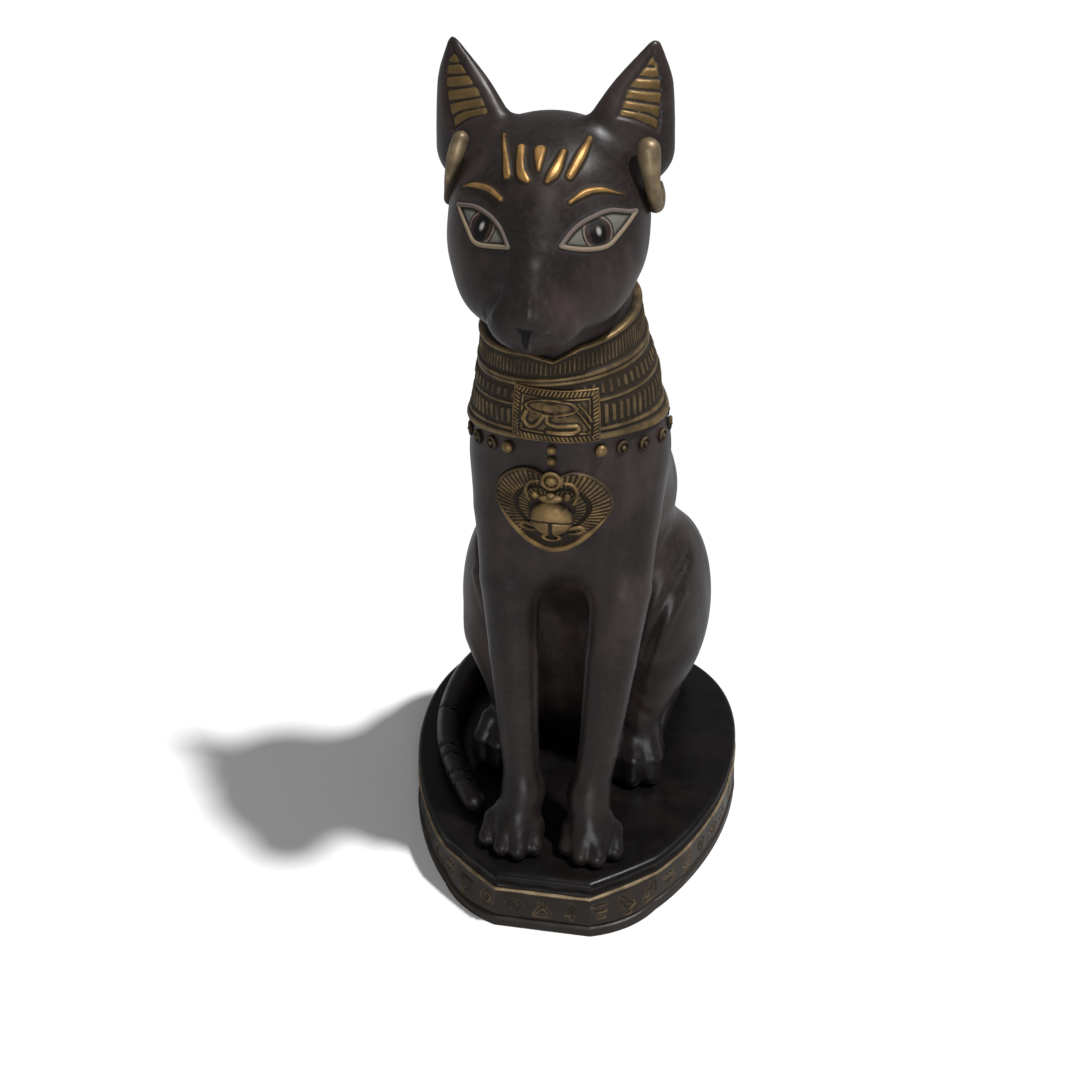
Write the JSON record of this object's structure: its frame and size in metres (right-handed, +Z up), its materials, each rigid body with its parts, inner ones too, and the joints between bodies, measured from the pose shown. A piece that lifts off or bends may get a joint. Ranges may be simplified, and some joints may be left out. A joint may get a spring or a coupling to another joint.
{
  "type": "bastet cat figure",
  "caption": "Seated Egyptian cat figure on an oval plinth, moulded in one piece, with collar, winged scarab pendant and earrings, for display on a flat surface.",
  "frame": {"origin": "middle of the plinth's flat underside", "axes": "+Z up from the underside to the ear tips, -Y the way the cat looks, +X the cat's left"},
  "size_m": [0.072, 0.083, 0.174],
  "materials": {
    "bronzed_resin": "satin dark brown bronze-look resin, gold paint on the raised ornament"
  },
  "bodies": {
    "root": {"cat_figure": "bronzed_resin"}
  },
  "joints": []
}
